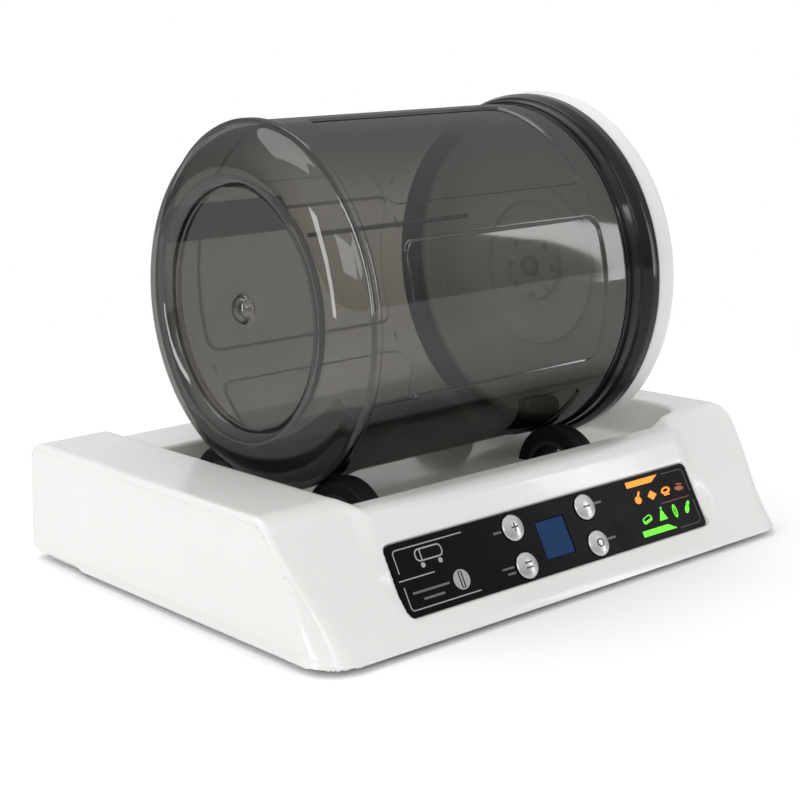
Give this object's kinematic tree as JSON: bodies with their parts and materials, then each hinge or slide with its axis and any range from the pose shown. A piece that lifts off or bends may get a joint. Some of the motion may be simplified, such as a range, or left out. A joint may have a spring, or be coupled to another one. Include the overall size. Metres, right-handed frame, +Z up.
{
  "type": "tumbling drum marinator",
  "caption": "Closed clear drum with internal paddles, lying on powered rollers in a low tray base with a sloping control panel; removable lid with valve.",
  "frame": {"origin": "centre of the footprint on the table, under the rubber feet", "axes": "+X along the drum axis towards the lid, -Y towards the user and the control panel, +Z up"},
  "size_m": [0.325, 0.274, 0.2446],
  "materials": {
    "white_shell": "glossy warm white ABS moulding",
    "white_cover": "satin white moulding",
    "foot_rubber": "matt grey rubber",
    "tyre_rubber": "matt black rubber",
    "screw_steel": "zinc-plated steel",
    "shaft_steel": "ground steel",
    "bush_bronze": "sintered bronze",
    "coupling_brass": "turned brass",
    "support_plastic": "natural nylon",
    "motor_case": "plated steel can",
    "bracket_steel": "zinc-plated sheet",
    "socket_plastic": "black plastic",
    "panel_black": "glossy black overlay",
    "board_green": "solder-masked board",
    "switch_black": "tactile switch",
    "lcd_blue": "dark blue backlit display",
    "lamp_orange": "lit orange lens",
    "lamp_green": "lit green lens",
    "button_silver": "satin silver plating",
    "hub_plastic": "black moulded hub",
    "smoked_clear": "smoked clear SAN or polycarbonate",
    "smoked_paddle": "smoked clear plastic, seen through its full height",
    "collar_black": "high-gloss black moulding",
    "lid_white": "glossy white moulding",
    "gasket_silicone": "grey silicone",
    "valve_grey": "light grey moulding"
  },
  "bodies": {
    "base": {"left_block": "white_shell", "right_block": "white_shell", "front_rail": "white_shell", "rear_rail": "white_shell", "drum_tray": "white_shell", "bottom_cover": "white_cover", "rubber_feet": "foot_rubber", "cover_screws": "screw_steel", "bearing_blocks": "support_plastic", "bearing_bushes": "bush_bronze", "gear_motor": "motor_case", "motor_bracket": "bracket_steel", "motor_screws": "screw_steel", "dc_socket": "socket_plastic", "control_panel": "panel_black", "control_board": "board_green", "board_screws": "screw_steel", "key_switches": "switch_black", "lcd_display": "lcd_blue", "orange_indicators": "lamp_orange", "green_indicators": "lamp_green"},
    "front_drive": {"motor_shaft": "shaft_steel", "shaft_coupling": "coupling_brass", "front_shaft": "shaft_steel", "front_roller_hubs": "hub_plastic", "front_roller_tyres": "tyre_rubber"},
    "rear_idler": {"rear_shaft": "shaft_steel", "rear_roller_hubs": "hub_plastic", "rear_roller_tyres": "tyre_rubber"},
    "drum_carrier": {"mouth_collar": "collar_black"},
    "drum": {"drum_shell": "smoked_clear", "drum_paddles": "smoked_paddle"},
    "lid": {"lid": "lid_white", "lid_gasket": "gasket_silicone", "valve_housing": "valve_grey", "hub_screws": "screw_steel"},
    "valve": {"valve_button": "button_silver", "valve_seal": "gasket_silicone"},
    "button_plus": {"button_plus": "button_silver"},
    "button_minus": {"button_minus": "button_silver"},
    "button_mode": {"button_mode": "button_silver"},
    "button_start": {"button_start": "button_silver"}
  },
  "joints": [
    {"name": "drum_lift", "type": "slide", "parent": "base", "child": "drum_carrier", "axis": [0, 0, 1], "range_m": [0, 0.12]},
    {"name": "drum_spin", "type": "hinge", "parent": "drum_carrier", "child": "drum", "pos_m": [0, 0, 0.1455], "axis": [1, 0, 0], "continuous": true},
    {"name": "lid_off", "type": "slide", "parent": "drum", "child": "lid", "axis": [1, 0, 0], "range_m": [0, 0.022]},
    {"name": "valve_press", "type": "slide", "parent": "lid", "child": "valve", "axis": [-1, 0, 0], "range_m": [0, 0.002], "stiffness_N_per_m": 600, "springref_m": -0.001},
    {"name": "front_roller_spin", "type": "hinge", "parent": "base", "child": "front_drive", "pos_m": [0, -0.05135, 0.03538], "axis": [1, 0, 0], "continuous": true},
    {"name": "rear_roller_spin", "type": "hinge", "parent": "base", "child": "rear_idler", "pos_m": [0, 0.05135, 0.03538], "axis": [1, 0, 0], "continuous": true},
    {"name": "button_plus_press", "type": "slide", "parent": "base", "child": "button_plus", "axis": [0, 0.8829, -0.4695], "range_m": [0, 0.0012], "stiffness_N_per_m": 900, "springref_m": -0.0006},
    {"name": "button_minus_press", "type": "slide", "parent": "base", "child": "button_minus", "axis": [0, 0.8829, -0.4695], "range_m": [0, 0.0012], "stiffness_N_per_m": 900, "springref_m": -0.0006},
    {"name": "button_mode_press", "type": "slide", "parent": "base", "child": "button_mode", "axis": [0, 0.8829, -0.4695], "range_m": [0, 0.0012], "stiffness_N_per_m": 900, "springref_m": -0.0006},
    {"name": "button_start_press", "type": "slide", "parent": "base", "child": "button_start", "axis": [0, 0.8829, -0.4695], "range_m": [0, 0.0012], "stiffness_N_per_m": 900, "springref_m": -0.0006}
  ],
  "couplings": [
    {"joint": "front_roller_spin", "follows": "drum_spin", "ratio": -3.3393},
    {"joint": "rear_roller_spin", "follows": "drum_spin", "ratio": -3.3393}
  ]
}
